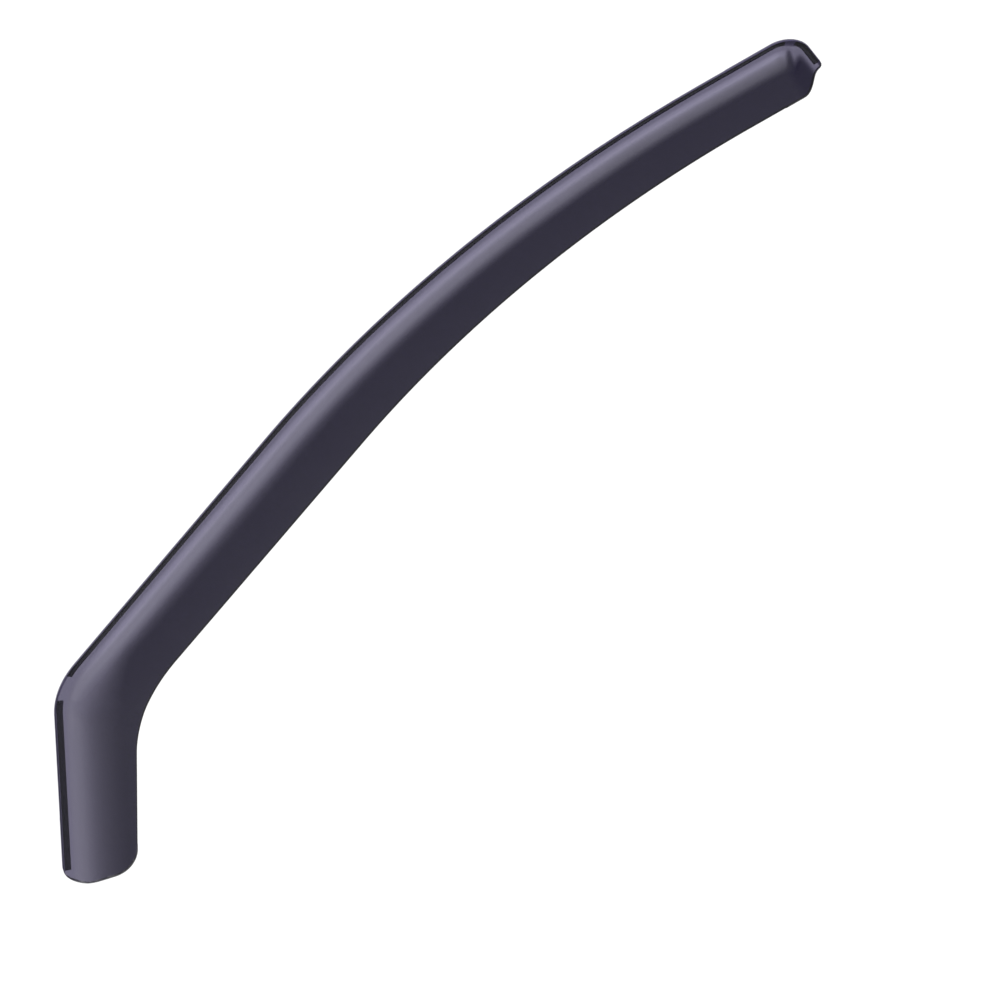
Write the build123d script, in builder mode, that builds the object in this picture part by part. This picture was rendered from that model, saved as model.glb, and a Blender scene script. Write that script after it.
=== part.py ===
from build123d import *
import os
from math import cos, radians, sin, tan

# Stick-on rain deflector for the front door window of a car, left side.
# X runs to the rear of the car, Z is up and -Y is the outer side. The plane Y = 0 is the door
# frame that the tape sticks to, and the origin is on the middle of the tape on the pillar run.

# Flange edge, as three straight runs joined by two bends
leg_angle = 64.0
pillar_angle = 26.0
leg_run = 237.7
pillar_run = 534.0
roof_run = 322.0
front_bend_radius = 89.0
roof_bend_radius = 1024.0
rear_corner_radius = 25.0
foot_corner_radius = 17.3
pillar_datum = 164.0

# Free edge, where the shield stands off the glass
leg_width = 58.6
leg_taper = 1.5
pillar_width = 62.0
roof_width = 48.0
free_front_radius = 169.0
free_roof_radius = 907.0
rear_tip_radius = 5.0
foot_tip_radius = 23.0

# Cut ends
end_slant = 3.4
end_draft = 31.0
foot_slope = 14.5
foot_lean = 35.5

# Section of the moulded shield
wall = 2.5
flange_width = 12.5
end_flange_width = 6.7
rise = 20.0
draft = 20.0
root_radius = 5.5
shoulder_radius = 9.0
corner_radius = 9.0
crown_radius = 140.0
crown_inset = 6.0

# Foam tape
tape_width = 5.2
leg_tape_width = 5.4
end_tape_width = 4.5
tape_thickness = 1.1
tape_margin = 1.4
leg_tape_margin = 2.2
bend_gap = 28.0
corner_gap = 9.0
foot_gap = 17.0
tip_gap = 4.5

# Stock left outside the trimmed outline while the shield is formed
overrun = 40.0

outward = Vector(0, -1, 0)
tape_inset = tape_margin + tape_width / 2
flange_top = tape_thickness + wall


def heading(angle):
    return Vector(cos(radians(angle)), sin(radians(angle)))


def inset_line(line, distance):
    """Move a line to its right, which is into the shield."""
    point, angle = line
    return point + heading(angle - 90) * distance, angle


def meet(line_a, line_b):
    """Plan point where two lines cross."""
    point_a, angle_a = line_a
    point_b, angle_b = line_b
    normal_b = heading(angle_b - 90)
    travel = (point_b - point_a).dot(normal_b) / heading(angle_a).dot(normal_b)
    return point_a + heading(angle_a) * travel


# The eight lines of the plan, in order round the outline
front_corner = heading(pillar_angle + 90) * tape_inset - heading(pillar_angle) * pillar_datum
roof_corner = front_corner + heading(pillar_angle) * pillar_run
rear_corner = roof_corner + Vector(roof_run, 0)
foot_corner = front_corner - heading(leg_angle) * leg_run
leg_edge = (foot_corner, leg_angle)
pillar_edge = (front_corner, pillar_angle)
roof_edge = (roof_corner, 0)
rear_end = (rear_corner, end_slant - 90)
roof_free = inset_line(roof_edge, roof_width)
pillar_free = inset_line(pillar_edge, pillar_width)
leg_free_angle = leg_angle - leg_taper
leg_free = (inset_line(leg_edge, leg_width)[0], leg_free_angle)
foot = (foot_corner, 180 - foot_slope)


def plan_points(*points):
    """Points as the local coordinates that a sketch plane takes."""
    return [(point.X, point.Y) for point in points]


def mould_face(skin):
    """Block that fills the space under the shield's outer face, or under its inner face with skin
    set to the wall: a flat sheet with the raised form on it."""
    level = flange_top - skin
    top = flange_top + rise + overrun
    reach = front_bend_radius - wall
    lean = tan(radians(draft))
    wall_shift = flange_width + skin / cos(radians(draft)) - flange_top * lean
    end_out = heading(end_slant) * cos(radians(end_draft))
    end_normal = Vector(end_out.X, 0, end_out.Y) + outward * sin(radians(end_draft))
    end_foot = rear_corner - heading(end_slant) * end_flange_width
    end_point = Vector(end_foot.X, -flange_top, end_foot.Y) - end_normal * skin
    with BuildPart() as block:
        with BuildLine(Plane.XZ) as path:
            FilletPolyline(
                plan_points(
                    rear_corner + heading(0) * overrun,
                    roof_corner,
                    front_corner,
                    foot_corner - heading(leg_angle) * overrun,
                ),
                radius=[roof_bend_radius, front_bend_radius],
            )
        with BuildSketch(Plane(path.line @ 0, x_dir=(0, 0, -1), z_dir=(-1, 0, 0))):
            with BuildLine():
                Polyline(
                    (wall_shift, 0),
                    (wall_shift + top * lean, top),
                    (reach, top),
                    (reach, 0),
                    close=True,
                )
            make_face()
            with Locations((pillar_width - crown_inset, flange_top + rise - crown_radius)):
                Circle(crown_radius - skin, mode=Mode.INTERSECT)
            fillet(vertices().sort_by(Axis.X)[1], shoulder_radius - skin)
        sweep(path=path.line)
        split(bisect_by=Plane(end_point, z_dir=end_normal), keep=Keep.BOTTOM)
        end_face = faces().sort_by(Axis.X)[-1]
        ridge = end_face.edges().sort_by(Axis.Y)[:-1].sort_by(Axis.Z)[1:]
        fillet(ridge, corner_radius - skin)
        stock = block.part.bounding_box()
        with BuildSketch(Plane.XZ):
            with Locations((stock.center().X, stock.center().Z)):
                Rectangle(stock.size.X + overrun, stock.size.Z + overrun)
        extrude(amount=level)
        sheet_face = faces().filter_by(Plane.XZ).sort_by(Axis.Y)[0]
        fillet(sheet_face.inner_wires()[0].edges(), root_radius + skin)
    return block.part


# The foot is cut by a plane that leans outward, so the raised face ends above the flange. Its tip
# is rounded about the line where that cut meets the free edge of the leg.
foot_point = Vector(foot_corner.X, -flange_top, foot_corner.Y)
foot_up = heading(90 - foot_slope) * cos(radians(foot_lean))
foot_normal = Vector(foot_up.X, 0, foot_up.Y) - outward * sin(radians(foot_lean))
side_normal = Vector(-sin(radians(leg_free_angle)), 0, cos(radians(leg_free_angle)))
tip_edge = foot_normal.cross(side_normal).normalized()
tip_depth = flange_top + rise - wall / 2
tip_plan = meet(leg_free, inset_line(foot, (tip_depth - flange_top) * tan(radians(foot_lean))))
tip_point = Vector(tip_plan.X, -tip_depth, tip_plan.Y)
tip_inward = (foot_normal + side_normal).normalized()
tip_half = radians(90) - radians(foot_normal.get_angle(side_normal)) / 2
tip_far = foot_tip_radius / sin(tip_half)
tip_x = foot_tip_radius / tan(tip_half) * cos(tip_half)
tip_y = foot_tip_radius * cos(tip_half)

with BuildPart() as shield:
    add(mould_face(0))
    add(mould_face(wall), mode=Mode.SUBTRACT)
    with BuildSketch(Plane.XZ):
        with BuildLine():
            FilletPolyline(
                plan_points(
                    foot_corner,
                    front_corner,
                    roof_corner,
                    rear_corner,
                    meet(rear_end, roof_free),
                    meet(roof_free, pillar_free),
                    meet(pillar_free, leg_free),
                    meet(leg_free, foot),
                ),
                radius=[
                    foot_corner_radius,
                    front_bend_radius,
                    roof_bend_radius,
                    rear_corner_radius,
                    rear_tip_radius,
                    free_roof_radius,
                    free_front_radius,
                    0,
                ],
                close=True,
            )
        make_face()
    extrude(amount=flange_top + rise + overrun, mode=Mode.INTERSECT)
    split(bisect_by=Plane(foot_point, z_dir=foot_normal), keep=Keep.TOP)
    with BuildSketch(Plane(tip_point, x_dir=tip_inward, z_dir=tip_edge)):
        Polygon((-wall, 0), (tip_x, -tip_y), (tip_far, 0), (tip_x, tip_y), align=None)
        with Locations((tip_far, 0)):
            Circle(foot_tip_radius, mode=Mode.SUBTRACT)
    extrude(amount=foot_tip_radius, both=True, mode=Mode.SUBTRACT)


def tape_course(width, margin):
    """Middle of a tape that keeps its margin from the flange edge, from the foot to the rear tip."""
    inset = margin + width / 2
    leg, pillar, roof, end = [
        inset_line(line, inset) for line in (leg_edge, pillar_edge, roof_edge, rear_end)
    ]
    with BuildLine() as course:
        FilletPolyline(
            plan_points(
                meet(leg, foot),
                meet(leg, pillar),
                meet(pillar, roof),
                meet(roof, end),
                meet(end, roof_free),
            ),
            radius=[r - inset for r in (front_bend_radius, roof_bend_radius, rear_corner_radius)],
        )
    return course.wire()


def to_bend(course):
    """Distance along a tape course to the middle of the front bend."""
    spans = [edge.length for edge in course.edges()]
    return spans[0] + spans[1] / 2


def to_corner(course):
    """Distance along a tape course to the middle of the rear corner."""
    spans = [edge.length for edge in course.edges()]
    return sum(spans[:5]) + spans[5] / 2


def course_between(course, start, end):
    return course.trim(start / course.length, end / course.length)


leg_course = tape_course(leg_tape_width, leg_tape_margin)
long_course = tape_course(tape_width, tape_margin)
end_course = tape_course(end_tape_width, tape_margin)

with BuildPart() as leg_tape:
    with BuildSketch(Plane.XZ):
        leg_stretch = course_between(leg_course, foot_gap, to_bend(leg_course) - bend_gap / 2)
        trace(leg_stretch, line_width=leg_tape_width)
    extrude(amount=tape_thickness)

with BuildPart() as long_tape:
    with BuildSketch(Plane.XZ):
        long_stretch = course_between(
            long_course,
            to_bend(long_course) + bend_gap / 2,
            to_corner(long_course) - corner_gap / 2,
        )
        trace(long_stretch, line_width=tape_width)
    extrude(amount=tape_thickness)

with BuildPart() as end_tape:
    with BuildSketch(Plane.XZ):
        end_stretch = course_between(
            end_course,
            to_corner(end_course) + corner_gap / 2,
            end_course.length - tip_gap,
        )
        trace(end_stretch, line_width=end_tape_width)
    extrude(amount=tape_thickness)

shield.part.label = "shield"
leg_tape.part.label = "leg_tape"
long_tape.part.label = "long_tape"
end_tape.part.label = "end_tape"

os.makedirs("parts", exist_ok=True)
export_step(shield.part, "parts/shield.step")
export_step(leg_tape.part, "parts/leg_tape.step")
export_step(long_tape.part, "parts/long_tape.step")
export_step(end_tape.part, "parts/end_tape.step")
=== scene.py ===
from math import asin, cos, pi, radians, sin, sqrt, tan

import bmesh
import bpy
from mathutils import Matrix, Quaternion, Vector


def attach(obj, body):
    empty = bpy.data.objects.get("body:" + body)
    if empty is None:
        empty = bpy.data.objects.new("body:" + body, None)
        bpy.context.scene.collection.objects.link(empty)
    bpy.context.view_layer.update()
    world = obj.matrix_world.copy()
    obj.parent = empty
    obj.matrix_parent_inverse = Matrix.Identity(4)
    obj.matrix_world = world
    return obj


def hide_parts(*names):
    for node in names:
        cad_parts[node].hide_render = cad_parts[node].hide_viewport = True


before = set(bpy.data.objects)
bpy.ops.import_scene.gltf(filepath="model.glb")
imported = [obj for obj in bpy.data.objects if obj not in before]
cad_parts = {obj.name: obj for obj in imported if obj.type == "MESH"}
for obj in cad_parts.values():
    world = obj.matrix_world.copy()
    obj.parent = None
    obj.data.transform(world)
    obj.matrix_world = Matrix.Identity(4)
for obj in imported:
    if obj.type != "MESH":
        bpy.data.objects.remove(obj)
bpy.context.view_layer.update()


# Studio: a white floor under a soft white tent. The tent is brightest overhead and behind the
# shield and dims towards the front, so that the polished wall, which looks up, carries a soft
# bright band and the outer face, which looks down to the floor, stays dark.
class Shade:
    """A value in a node tree. Sums and products of values add Math nodes."""

    def __init__(self, tree, socket=None):
        self.tree = tree
        self.socket = socket

    def node(self, kind, settings=None, sockets=None, out=0):
        made = self.tree.nodes.new(kind)
        for name, value in (settings or {}).items():
            if name == "stops":
                ramp = made.color_ramp
                while len(ramp.elements) < len(value):
                    ramp.elements.new(0.5)
                for element, (place, colour) in zip(ramp.elements, value):
                    element.position = place
                    element.color = colour
            else:
                setattr(made, name, value)
        for name, value in (sockets or {}).items():
            if isinstance(value, Shade):
                self.tree.links.new(value.socket, made.inputs[name])
            else:
                made.inputs[name].default_value = value
        return Shade(self.tree, made.outputs[out] if made.outputs else None)

    def math(self, operation, first, second):
        return self.node("ShaderNodeMath", {"operation": operation}, {0: first, 1: second})

    def __add__(self, other):
        return self.math("ADD", self, other)

    __radd__ = __add__

    def __sub__(self, other):
        return self.math("SUBTRACT", self, other)

    def __rsub__(self, other):
        return self.math("SUBTRACT", other, self)

    def __mul__(self, other):
        return self.math("MULTIPLY", self, other)

    __rmul__ = __mul__

    def __truediv__(self, other):
        return self.math("DIVIDE", self, other)

    def __rtruediv__(self, other):
        return self.math("DIVIDE", other, self)


def grey(level):
    return (level, level, level, 1.0)


scene = bpy.context.scene
scene.view_settings.view_transform = "Standard"

tent_top = (0.0, 0.707, 0.707)
tent_levels = [
    (0.0, grey(0.38)),
    (0.125, grey(0.42)),
    (0.355, grey(0.53)),
    (0.58, grey(0.68)),
    (0.76, grey(0.98)),
    (1.0, grey(1.0)),
]
tent_strength = 2.6
world = bpy.data.worlds.new("studio")
scene.world = world
world.use_nodes = True
world.node_tree.nodes.clear()
sky = Shade(world.node_tree)
toward = sky.node("ShaderNodeTexCoord", None, None, "Generated")
lift = sky.node(
    "ShaderNodeVectorMath", {"operation": "DOT_PRODUCT"}, {0: toward, 1: tent_top}, "Value"
)
tent = sky.node("ShaderNodeValToRGB", {"stops": tent_levels}, {0: lift * 0.5 + 0.5})
light = sky.node("ShaderNodeBackground", None, {"Color": tent, "Strength": tent_strength})
sky.node("ShaderNodeOutputWorld", None, {"Surface": light})

floor_level = -0.45
floor_half = 20.0
floor_albedo = 0.25
floor_glow = 0.52
sheet = bmesh.new()
bmesh.ops.create_grid(
    sheet,
    x_segments=1,
    y_segments=1,
    size=floor_half,
    matrix=Matrix.Translation((0.0, 0.0, floor_level)),
)
floor_mesh = bpy.data.meshes.new("floor")
sheet.to_mesh(floor_mesh)
sheet.free()
floor = bpy.data.objects.new("floor", floor_mesh)
scene.collection.objects.link(floor)
paper = bpy.data.materials.new("white_floor")
paper.use_nodes = True
paper.node_tree.nodes.clear()
ground = Shade(paper.node_tree)
plain = ground.node("ShaderNodeBsdfDiffuse", None, {"Color": grey(floor_albedo)})
from_camera, from_gloss, through = [
    ground.node("ShaderNodeLightPath", None, None, kind)
    for kind in ("Is Camera Ray", "Is Glossy Ray", "Is Transmission Ray")
]
glow = ground.node("ShaderNodeEmission", None, {"Color": grey(1.0), "Strength": floor_glow})
lit = ground.node("ShaderNodeAddShader", None, {0: plain, 1: glow})
cover = ground.node(
    "ShaderNodeMixShader", None, {0: from_camera + from_gloss + through, 1: plain, 2: lit}
)
ground.node("ShaderNodeOutputMaterial", None, {"Surface": cover})
floor_mesh.materials.append(paper)

camera_data = bpy.data.cameras.new("camera")
camera_data.sensor_width = 36.0
camera_data.lens = 300.0
camera_data.clip_end = 100.0
camera = bpy.data.objects.new("camera", camera_data)
camera.location = (1.13345, -4.59117, 4.75149)
camera.rotation_mode = "QUATERNION"
camera.rotation_quaternion = Quaternion((0.903403, 0.339668, 0.152980, -0.212335))
scene.collection.objects.link(camera)
scene.camera = camera


# Shield: one piece of smoked acrylic, 2.5 mm thick, pressed to shape, trimmed and polished on both
# sides. The flange round its upper edge is flat for the tape and lets some light through, so the
# tape behind it shows; the raised face looks nearly black through painted shade in its tint.
wall = 0.00247  # just under 2.5 mm, so that the sheet shares no face with the tape
flange_top = 0.0036
flange_width = 0.0102
end_flange_width = 0.0067
rise = 0.020
draft = radians(20.0)
leg_draft = radians(31.0)
end_draft = radians(31.0)
root_radius = 0.004
shoulder_radius = 0.009
crown_radius = 0.140
crown_middle = 0.056

# Plan in X and Z: directions in degrees, runs of the flange edge, widths and corner radii
leg_angle = 64.0
pillar_angle = 26.0
roof_angle = 0.0
leg_free_angle = 62.5
end_slant = 3.4
foot_slope = 14.5
foot_lean = radians(35.5)
front_corner = Vector((-0.14916, -0.06830))
leg_run = 0.2377
pillar_run = 0.534
roof_run = 0.322
leg_width = 0.0586
pillar_width = 0.062
roof_width = 0.048
front_bend_radius = 0.089
roof_bend_radius = 1.024
free_front_radius = 0.169
free_roof_radius = 0.907
rear_corner_radius = 0.025
rear_tip_radius = 0.005
foot_corner_radius = 0.0173
foot_tip_radius = 0.023


def heading(angle):
    return Vector((cos(radians(angle)), sin(radians(angle))))


def inset(line, distance):
    """A plan line moved to its right, which is into the shield."""
    point, angle = line
    return point + heading(angle - 90.0) * distance, angle


def meet(line_a, line_b):
    """Plan point where two lines cross."""
    across = heading(line_b[1] - 90.0)
    travel = (line_b[0] - line_a[0]).dot(across) / heading(line_a[1]).dot(across)
    return line_a[0] + heading(line_a[1]) * travel


foot_corner = front_corner - heading(leg_angle) * leg_run
roof_corner = front_corner + heading(pillar_angle) * pillar_run
rear_corner = roof_corner + heading(roof_angle) * roof_run
leg_edge = (foot_corner, leg_angle)
pillar_edge = (front_corner, pillar_angle)
roof_edge = (roof_corner, roof_angle)
rear_end = (rear_corner, end_slant - 90.0)
foot = (foot_corner, 180.0 - foot_slope)
leg_free = (inset(leg_edge, leg_width)[0], leg_free_angle)
pillar_free = inset(pillar_edge, pillar_width)
roof_free = inset(roof_edge, roof_width)

# Stations along the flange edge, from below the foot to past the rear end, closest near the end
foot_stock = 0.03
rear_stock = 0.004
close_zone = 0.034
front_turn = leg_angle - pillar_angle
roof_turn = pillar_angle - roof_angle
front_tangent = front_bend_radius * tan(radians(front_turn) / 2.0)
roof_tangent = roof_bend_radius * tan(radians(roof_turn) / 2.0)
place = foot_corner - heading(leg_angle) * foot_stock
angle = leg_angle
travel = 0.0
stations = [(place, angle, travel)]
for length, turn, steps in (
    (foot_stock + leg_run - front_tangent, 0.0, 60),
    (front_bend_radius * radians(front_turn), -front_turn, 30),
    (pillar_run - front_tangent - roof_tangent, 0.0, 60),
    (roof_bend_radius * radians(roof_turn), -roof_turn, 110),
    (roof_run - roof_tangent - close_zone, 0.0, 12),
    (close_zone + rear_stock, 0.0, 48),
):
    for _ in range(steps):
        place = place + heading(angle + turn / steps / 2.0) * (length / steps)
        angle += turn / steps
        travel += length / steps
        stations.append((place, angle, travel))
whole_travel = travel


def free_width(point, inward):
    """Distance from the flange edge to the free edge, straight across the shield."""
    reach = max(
        (line[0] - point).dot(heading(line[1] - 90.0)) / inward.dot(heading(line[1] - 90.0))
        for line in (leg_free, pillar_free, roof_free)
    )
    for first, second, radius in (
        (leg_free, pillar_free, free_front_radius),
        (pillar_free, roof_free, free_roof_radius),
    ):
        tangent = radius * tan(radians(first[1] - second[1]) / 2.0)
        if (point + inward * reach - meet(first, second)).length < tangent:
            middle = meet(inset(first, radius), inset(second, radius)) - point
            along = middle.dot(inward)
            return along - sqrt(along * along - middle.length_squared + radius * radius)
    return reach


def from_end(point):
    """Distance of a plan point from the rear end, into the shield."""
    return -(point - rear_corner).dot(heading(end_slant))


# Section across the shield: flat flange, root, drafted wall, shoulder and crowned face
root_start = flange_width - root_radius * tan((pi / 2.0 - draft) / 2.0)
root_end = root_start + root_radius * cos(draft)
slope_in = Vector((cos(draft), -sin(draft)))
slope_up = Vector((sin(draft), cos(draft)))
crown_centre = Vector((crown_middle, rise - crown_radius))
offset = Vector((flange_width, 0.0)) + slope_in * shoulder_radius - crown_centre
fall = offset.dot(slope_up)
shoulder = crown_centre + offset + slope_up * (
    sqrt(fall * fall - offset.length_squared + (crown_radius - shoulder_radius) ** 2) - fall
)
shoulder_start = shoulder.x - shoulder_radius * cos(draft)
shoulder_end = crown_centre.x + (shoulder.x - crown_centre.x) * crown_radius / (
    crown_radius - shoulder_radius
)


def crown_height(across):
    return crown_centre.y + sqrt(crown_radius**2 - (across - crown_centre.x) ** 2)


def side_height(across):
    """Height of the section above the flange."""
    if across < root_start:
        return 0.0
    if across < root_end:
        return root_radius - sqrt(root_radius**2 - (across - root_start) ** 2)
    if across < shoulder_start:
        return (across - flange_width) / tan(draft)
    if across < shoulder_end:
        return shoulder.y + sqrt(shoulder_radius**2 - (across - shoulder.x) ** 2)
    return crown_height(across)


def soft_min(first, second, blend):
    """The lower of two heights, with the corner between them rounded off."""
    overlap = max(blend - abs(first - second), 0.0)
    return min(first, second) - overlap * overlap / (4.0 * blend)


def round_min(first, second, radius):
    """The lower of two distances from an edge, with the plan corner between them rounded."""
    if max(first, second) > radius:
        return min(first, second)
    return radius - sqrt((radius - first) ** 2 + (radius - second) ** 2)


def soft_step(value):
    value = min(max(value, 0.0), 1.0)
    return value * value * (3.0 - 2.0 * value)


# The wall of the leg leans further back than the wall above it, up to the bend, and a dome with a
# sloping end wall closes the rear end
laid_back_end = 0.21
laid_back_fade = 0.11
leg_shoulder_blend = 0.010
leg_root_blend = 0.011
dome_corner_radius = 0.014
dome_shoulder_blend = 0.009
dome_root_blend = 0.005
dome_length = 0.025
dome_fade = 0.025


def height_at(across, point, travel):
    """Height above the flange at a plan point."""
    height = side_height(across)
    laid_back = 1.0 - soft_step((travel - laid_back_end) / laid_back_fade)
    if laid_back > 0.0:
        slope = (across - flange_width) / tan(leg_draft)
        slope = soft_min(slope, crown_height(across), leg_shoulder_blend)
        height += (-soft_min(0.0, -slope, leg_root_blend) - height) * laid_back
    inside = from_end(point)
    end = (inside - end_flange_width) * tan(draft) / tan(end_draft)
    dome = round_min(across - flange_width, end, dome_corner_radius) / tan(draft)
    dome = soft_min(dome, crown_height(across), dome_shoulder_blend)
    dome = -soft_min(0.0, -dome, dome_root_blend)
    return dome + (height - dome) * soft_step((inside - dome_length) / dome_fade)


flange_steps = 5
root_steps = 8
wall_steps = 5
shoulder_steps = 14
crown_steps = 16
root_turn = pi / 2.0 - draft
shoulder_turn = pi / 2.0 - draft - asin((crown_centre.x - shoulder_end) / crown_radius)
columns = [root_start * k / flange_steps for k in range(flange_steps)]
columns += [root_start + root_radius * sin(root_turn * k / root_steps) for k in range(root_steps)]
columns += [root_end + (shoulder_start - root_end) * k / wall_steps for k in range(wall_steps)]
columns += [
    shoulder.x - shoulder_radius * cos(draft + shoulder_turn * k / shoulder_steps)
    for k in range(shoulder_steps)
]

# The UV layer holds the way along the flange edge and the depth from the edge, in metres; the tint
# darkens with depth. Depth is stretched over the end wall, and more so along the crease between
# the end wall and the long wall, which paints shade on the end wall and a darker band of painted
# shade along the crease.
end_stretch = 0.9
end_stretch_fade = 0.02
crease_half = 0.006
crease_start = 0.0045
crease_fade = 0.005
crease_shade_depth = 0.0055
rows = len(stations) - 1
lanes = len(columns) + crown_steps
sheet = bmesh.new()
bmesh.ops.create_grid(sheet, x_segments=rows, y_segments=lanes, size=1.0)
course = {}
for vert in sheet.verts:
    row = round((vert.co.x + 1.0) / 2.0 * rows)
    lane = round((vert.co.y + 1.0) / 2.0 * lanes)
    point, angle, travel = stations[row]
    inward = heading(angle - 90.0)
    if lane < len(columns):
        across = columns[lane]
    else:
        share = (lane - len(columns)) / crown_steps
        across = shoulder_end + (free_width(point, inward) - shoulder_end) * share
    spot = point + inward * across
    vert.co = (spot.x, -flange_top - height_at(across, spot, travel), spot.y)
    inside = from_end(spot)
    depth = round_min(across, inside, rear_corner_radius)
    # Painted shade: depth is added along the crease, so the tint is darker there
    painted_crease_shade = soft_step(1.0 - abs(across - inside) / crease_half)
    painted_crease_shade *= soft_step((depth - crease_start) / crease_fade)
    # The end wall's depth is stretched, so its tint darkens sooner, as painted shade
    stretch = 1.0 + end_stretch * soft_step((across - inside) / end_stretch_fade)
    course[vert] = (travel, depth * stretch + crease_shade_depth * painted_crease_shade)
layout = sheet.loops.layers.uv.new("course")
for face in sheet.faces:
    for loop in face.loops:
        loop[layout].uv = course[loop.vert]


def trim(middle, reach, point, normal):
    """Cut away what lies beyond a plane, near one corner of the sheet."""
    near = [face for face in sheet.faces if (face.calc_center_median() - middle).length < reach]
    edges = dict.fromkeys(edge for face in near for edge in face.edges)
    verts = dict.fromkeys(vert for face in near for vert in face.verts)
    bmesh.ops.bisect_plane(
        sheet,
        geom=[*near, *edges, *verts],
        dist=1e-6,
        plane_co=point,
        plane_no=normal,
        clear_outer=True,
    )


def upright(plan):
    return Vector((plan.x, 0.0, plan.y))


def round_rear(line_a, line_b, radius, start, end, steps):
    """Trim a plan corner to an arc whose outward direction turns from start to end."""
    middle = meet(inset(line_a, radius), inset(line_b, radius))
    corner = upright(meet(line_a, line_b)) + flange_face
    for k in range(steps + 1):
        out = heading(start + (end - start) * k / steps)
        trim(corner, corner_reach, upright(middle + out * radius), upright(out))


def round_foot(corner, first_in, second_in, radius, steps):
    """Trim the corner between two planes, given by their inward directions, to an arc."""
    half = (pi - first_in.angle(second_in)) / 2.0
    middle = corner + (first_in + second_in).normalized() * (radius / sin(half))
    for k in range(steps + 1):
        out = -(first_in.slerp(second_in, k / steps))
        trim(corner, corner_reach, middle + out * radius, out)


# Trim to the outline. The foot is cut by a plane that leans outward, so the raised face ends above
# the flange, and both its corners are rounded about that cut.
corner_reach = 0.06
foot_reach = 0.12
flange_face = Vector((0.0, -flange_top, 0.0))
round_rear(roof_edge, rear_end, rear_corner_radius, 90.0, end_slant, 14)
round_rear(rear_end, (roof_free[0], 180.0), rear_tip_radius, end_slant, -90.0, 8)
foot_point = upright(foot_corner) + flange_face
foot_up = upright(heading(90.0 - foot_slope)) * cos(foot_lean)
foot_up += Vector((0.0, sin(foot_lean), 0.0))
trim(foot_point, foot_reach, foot_point, -foot_up)
round_foot(foot_point, upright(heading(leg_angle - 90.0)), foot_up, foot_corner_radius, 14)
tip_depth = rise - wall / 2.0
tip = upright(meet(leg_free, inset(foot, tip_depth * tan(foot_lean))))
tip.y = -flange_top - tip_depth
round_foot(tip, foot_up, upright(heading(leg_free_angle + 90.0)), foot_tip_radius, 12)

# Merge the slivers that trimming leaves along the border
border_merge = 0.0014
inner_merge = 0.0012
loose = [vert for vert in sheet.verts if not vert.link_faces]
bmesh.ops.delete(sheet, geom=loose, context="VERTS")
border = [vert for vert in sheet.verts if vert.is_boundary]
bmesh.ops.remove_doubles(sheet, verts=border, dist=border_merge)
near = {}
for vert in sheet.verts:
    for edge in vert.link_edges:
        other = edge.other_vert(vert)
        if vert.is_boundary and not other.is_boundary and edge.calc_length() < inner_merge:
            near[other] = vert
bmesh.ops.weld_verts(sheet, targetmap=near)
bmesh.ops.recalc_face_normals(sheet, faces=sheet.faces)
if sum(face.normal.y for face in sheet.faces) > 0.0:
    bmesh.ops.reverse_faces(sheet, faces=sheet.faces)
for face in sheet.faces:
    face.smooth = True

# The rim is eased along the two long edges, clear of the rear end and the foot
rim_ease = 0.0006
rear_clear = 0.065
foot_clear = 0.085
eased = sheet.edges.layers.float.new("bevel_weight_edge")
rear_point = upright(rear_corner)
for edge in sheet.edges:
    middle = (edge.verts[0].co + edge.verts[1].co) / 2.0
    clear_of_rear = (middle - rear_point).length > rear_clear
    clear_of_foot = (middle - foot_point).length > foot_clear
    edge[eased] = 1.0 if edge.is_boundary and clear_of_rear and clear_of_foot else 0.0
shield_mesh = bpy.data.meshes.new("shield_sheet")
sheet.to_mesh(shield_mesh)
sheet.free()
shield = bpy.data.objects.new("shield_sheet", shield_mesh)
scene.collection.objects.link(shield)
thickness = shield.modifiers.new("thickness", "SOLIDIFY")
thickness.thickness = wall
thickness.offset = -1.0
thickness.material_offset_rim = 1
rim = shield.modifiers.new("rim", "BEVEL")
rim.limit_method = "WEIGHT"
rim.width = rim_ease
rim.segments = 3
rim.use_clamp_overlap = False
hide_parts("shield")
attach(shield, "root")

# Smoked acrylic, faintly mottled, and wiping has left long streaks in its gloss. Its see-through
# tint carries painted shade, clear at the flange and nearly black on the face, and painted light
# that lightens it along the root past the bend.
clear = Vector((0.130, 0.121, 0.179))
painted_shade_face_tint = Vector((0.0112, 0.0088, 0.0272))
edge_tint = (0.020, 0.016, 0.042, 1.0)
acrylic = bpy.data.materials.new("smoked_acrylic")
acrylic.use_nodes = True
acrylic.node_tree.nodes.clear()
smoke = Shade(acrylic.node_tree)


def share_between(value, start, end, kind="SMOOTHSTEP"):
    """How far a value has come from a start to an end, from 0 to 1."""
    return smoke.node(
        "ShaderNodeMapRange",
        {"interpolation_type": kind},
        {"Value": value, "From Min": start, "From Max": end},
    )


on_sheet = smoke.node("ShaderNodeUVMap", {"uv_map": "course"})
along = smoke.node("ShaderNodeSeparateXYZ", None, {0: on_sheet}, "X")
depth = smoke.node("ShaderNodeSeparateXYZ", None, {0: on_sheet}, "Y")
past_bend = share_between(along, 0.27, 0.34)
to_rear = share_between(along, 0.5, 1.0, "LINEAR")
at_end = share_between(along, whole_travel - 0.030, whole_travel - 0.013)
blotches = smoke.node(
    "ShaderNodeTexNoise",
    None,
    {
        "Vector": smoke.node("ShaderNodeTexCoord", None, None, "Object"),
        "Scale": 24.0,
        "Detail": 3.0,
    },
)
wipes = smoke.node(
    "ShaderNodeTexNoise",
    None,
    {
        "Vector": smoke.node(
            "ShaderNodeVectorMath", {"operation": "MULTIPLY"}, {0: on_sheet, 1: (22.0, 900.0, 0.0)}
        ),
        "Scale": 1.0,
        "Detail": 2.0,
    },
)
mottle = 0.0012 * (blotches - 0.5)
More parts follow.
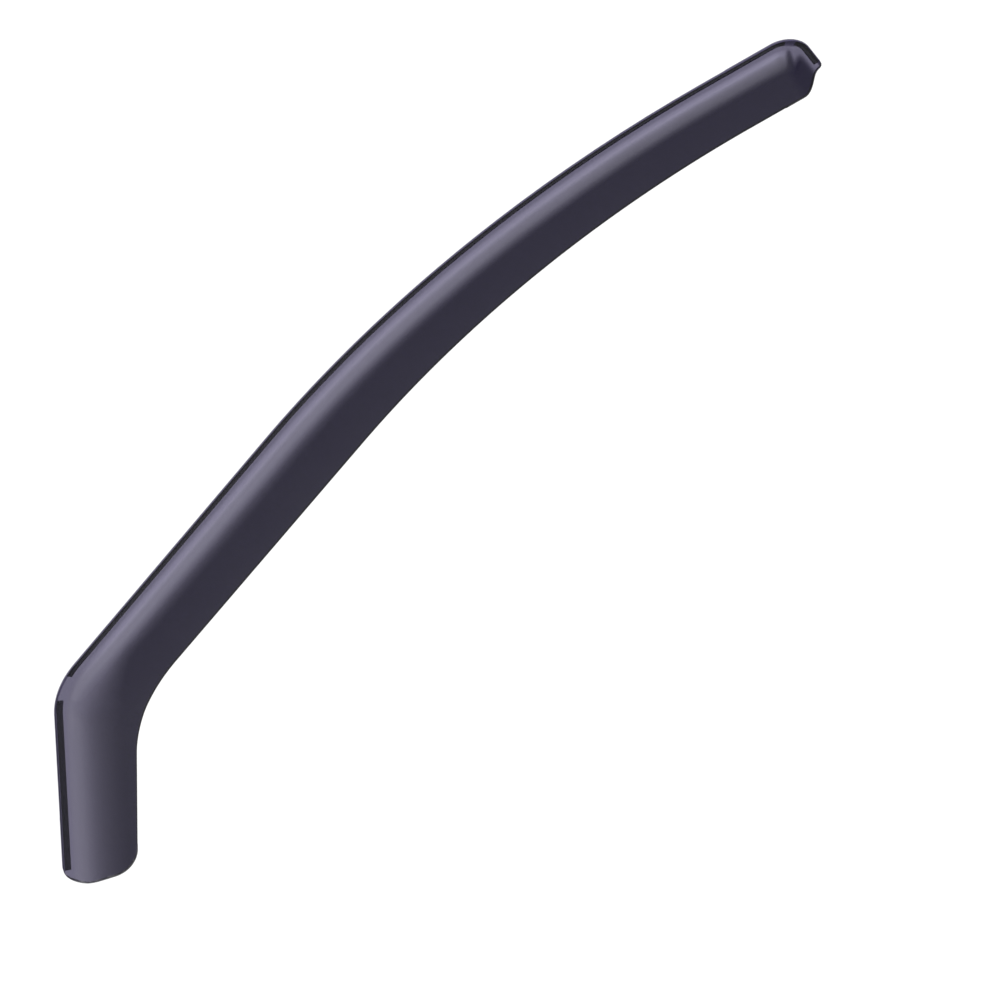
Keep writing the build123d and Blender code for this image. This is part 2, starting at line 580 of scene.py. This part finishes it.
# Where the painted shade of the tint begins along the depth and how long it takes, varied along
# the shield
fade_start = 0.0120 + 0.0009 * past_bend - 0.0020 * to_rear + 0.0012 * at_end
fade_length = 0.040 - 0.0265 * past_bend - 0.0065 * to_rear - 0.0005 * at_end
# Painted shade: the tint darkens with depth from clear at the flange to nearly black on the face
tint_and_painted_shade = smoke.node(
    "ShaderNodeValToRGB",
    {
        "stops": [
            (stop, (*painted_shade_face_tint.lerp(clear, share), 1.0))
            for stop, share in (
                (0.0, 1.0),
                (0.12, 0.83),
                (0.25, 0.62),
                (0.34, 0.47),
                (0.43, 0.36),
                (0.53, 0.25),
                (0.7, 0.13),
                (0.85, 0.05),
                (1.0, 0.0),
            )
        ]
    },
    {0: (depth + mottle - fade_start) / fade_length},
)
on_wall = share_between(depth, 0.0075, 0.0105)
in_root = share_between(depth, 0.0078, 0.0100) * (1.0 - share_between(depth, 0.0108, 0.0122))
# Painted light: the tint is scaled up on the flange and lighter still along the root past the bend
painted_light_scale = 1.1 - 0.1 * on_wall + 0.46 * past_bend * in_root * (1.0 - at_end)
tint_with_painted_light = smoke.node("ShaderNodeVectorMath", {"operation": "SCALE"}, {0: tint_and_painted_shade, "Scale": painted_light_scale})
past_edge = share_between(depth, 0.001 + 0.003 * at_end, 0.002 + 0.004 * at_end, "LINEAR")
colour = smoke.node(
    "ShaderNodeMix", {"data_type": "RGBA"}, {0: past_edge, 6: edge_tint, 7: tint_with_painted_light}, 2
)
polish = 0.53 + 0.08 * blotches + 0.06 * wipes
flange_gloss = 0.42 + 0.33 * past_bend - 0.15 * at_end
wall_gloss = 1.0 - 0.75 * at_end
gloss = flange_gloss + on_wall * (wall_gloss - flange_gloss)
body = smoke.node(
    "ShaderNodeBsdfPrincipled",
    None,
    {
        "Base Color": colour,
        "Roughness": 0.0,
        "IOR": 1.01,
        "Transmission Weight": 0.93,
        "Coat Weight": polish * gloss,
        "Coat Roughness": 0.04,
        "Coat IOR": 1.45,
    },
)
smoke.node("ShaderNodeOutputMaterial", None, {"Surface": body})
shield_mesh.materials.append(acrylic)

# Cut edge: the rim as the trimming cutter left it, finely scratched and not see-through
cut_edge = bpy.data.materials.new("cut_edge")
cut_edge.use_nodes = True
cut_edge.node_tree.nodes.clear()
sawn = Shade(cut_edge.node_tree)
marks = sawn.node(
    "ShaderNodeTexNoise",
    None,
    {
        "Vector": sawn.node("ShaderNodeTexCoord", None, None, "Object"),
        "Scale": 700.0,
        "Detail": 2.0,
    },
)
rim_face = sawn.node(
    "ShaderNodeBsdfPrincipled",
    None,
    {
        "Base Color": sawn.node(
            "ShaderNodeValToRGB",
            {"stops": [(0.3, (0.022, 0.018, 0.046, 1.0)), (0.7, (0.036, 0.030, 0.068, 1.0))]},
            {0: marks},
        ),
        "Roughness": 0.25 + 0.2 * marks,
        "Specular IOR Level": 0.2,
    },
)
sawn.node("ShaderNodeOutputMaterial", None, {"Surface": rim_face})
shield_mesh.materials.append(cut_edge)


# Tapes: three strips of black closed-cell foam with adhesive on both faces, pressed on the back of
# the flange. Their cut cells show as fine pits.
foam = bpy.data.materials.new("foam_tape")
foam.use_nodes = True
foam.node_tree.nodes.clear()
cells = Shade(foam.node_tree)
bubbles = cells.node(
    "ShaderNodeTexVoronoi",
    None,
    {"Vector": cells.node("ShaderNodeTexCoord", None, None, "Object"), "Scale": 1800.0},
)
grain = cells.node(
    "ShaderNodeTexNoise",
    None,
    {
        "Vector": cells.node("ShaderNodeTexCoord", None, None, "Object"),
        "Scale": 160.0,
        "Detail": 4.0,
    },
)
skin = cells.node(
    "ShaderNodeBsdfPrincipled",
    None,
    {
        "Base Color": cells.node(
            "ShaderNodeValToRGB",
            {"stops": [(0.3, (0.008, 0.008, 0.014, 1.0)), (0.7, (0.018, 0.018, 0.030, 1.0))]},
            {0: grain},
        ),
        "Roughness": 0.6 + 0.3 * bubbles,
        "Normal": cells.node(
            "ShaderNodeBump", None, {"Strength": 0.5, "Distance": 0.0002, "Height": bubbles}
        ),
    },
)
cells.node("ShaderNodeOutputMaterial", None, {"Surface": skin})
for name in ("long_tape", "leg_tape", "end_tape"):
    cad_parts[name].material_slots[0].material = foam
